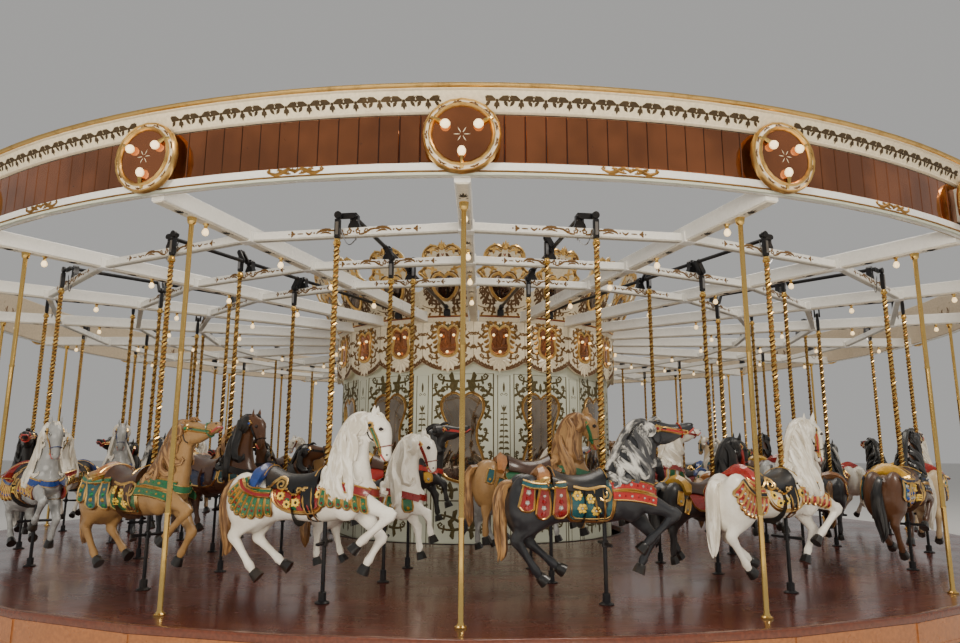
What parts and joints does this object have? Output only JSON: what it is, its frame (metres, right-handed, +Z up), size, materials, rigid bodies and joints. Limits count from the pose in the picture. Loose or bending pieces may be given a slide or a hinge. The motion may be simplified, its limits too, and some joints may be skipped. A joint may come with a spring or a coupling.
{
  "type": "fairground carousel with three rows of jumping horses",
  "caption": "Fairground carousel: a turning platform with rows of jumping horses on brass poles round a fixed mirrored drum, under a wheel frame with mirrored rounding boards.",
  "frame": {"origin": "on the turning axis at ground level", "axes": "+Z up along the turning axis, and a sweep points along -Y, the side the picture shows"},
  "size_m": [15.76, 15.76, 4.53],
  "materials": {
    "black_iron": "black painted iron, semi-gloss",
    "white_paint": "white gloss paint on timber with gilt scrolls",
    "cream_paint": "cream paint on carved timber with gilt and brown scrollwork",
    "tinted_mirror": "bevelled mirror strips, bronze-brown reflection",
    "grey_green_paint": "grey-green satin paint with brown scroll borders and mirrors",
    "varnished_boards": "dark red-brown boards, glossy varnish",
    "painted_carving": "carved wooden horses in gloss paint on twisted brass poles"
  },
  "bodies": {
    "base": {"ground_frame": "black_iron", "mast": "black_iron", "housing_section_1": "grey_green_paint", "housing_section_2": "grey_green_paint", "housing_section_3": "grey_green_paint", "housing_section_4": "grey_green_paint"},
    "platform": {"hub": "black_iron", "lower_rail": "white_paint", "mirror_band": "tinted_mirror", "cornice": "cream_paint", "frieze": "cream_paint", "crests": "cream_paint", "wheel_frame_1": "white_paint", "wheel_frame_2": "white_paint", "wheel_frame_3": "white_paint", "wheel_frame_4": "white_paint", "deck_section_1": "varnished_boards", "deck_section_2": "varnished_boards", "deck_section_3": "varnished_boards", "deck_section_4": "varnished_boards", "crank_rank_01": "painted_carving", "crank_rank_02": "painted_carving", "crank_rank_03": "painted_carving", "crank_rank_04": "painted_carving", "crank_rank_05": "painted_carving", "crank_rank_06": "painted_carving", "crank_rank_07": "painted_carving", "crank_rank_08": "painted_carving", "crank_rank_09": "painted_carving", "crank_rank_10": "painted_carving", "crank_rank_11": "painted_carving", "crank_rank_12": "painted_carving", "crank_rank_13": "painted_carving", "crank_rank_14": "painted_carving", "crank_rank_15": "painted_carving", "crank_rank_16": "painted_carving", "crank_rank_17": "painted_carving", "crank_rank_18": "painted_carving", "crank_rank_19": "painted_carving", "crank_rank_20": "painted_carving"},
    "odd_jumpers": {"outer_horse_01": "painted_carving", "outer_horse_03": "painted_carving", "outer_horse_05": "painted_carving", "outer_horse_07": "painted_carving", "outer_horse_09": "painted_carving", "outer_horse_11": "painted_carving", "outer_horse_13": "painted_carving", "outer_horse_15": "painted_carving", "outer_horse_17": "painted_carving", "outer_horse_19": "painted_carving"},
    "even_jumpers": {"outer_horse_02": "painted_carving", "outer_horse_04": "painted_carving", "outer_horse_06": "painted_carving", "outer_horse_08": "painted_carving", "outer_horse_10": "painted_carving", "outer_horse_12": "painted_carving", "outer_horse_14": "painted_carving", "outer_horse_16": "painted_carving", "outer_horse_18": "painted_carving", "outer_horse_20": "painted_carving"}
  },
  "joints": [
    {"name": "spin", "type": "hinge", "parent": "base", "child": "platform", "pos_m": [0, 0, 3.4], "axis": [0, 0, 1], "continuous": true},
    {"name": "odd_jump", "type": "slide", "parent": "platform", "child": "odd_jumpers", "axis": [0, 0, 1], "range_m": [-0.125, 0.125]},
    {"name": "even_jump", "type": "slide", "parent": "platform", "child": "even_jumpers", "axis": [0, 0, 1], "range_m": [-0.125, 0.125]}
  ],
  "couplings": [
    {"joint": "even_jump", "follows": "odd_jump", "ratio": -1}
  ]
}
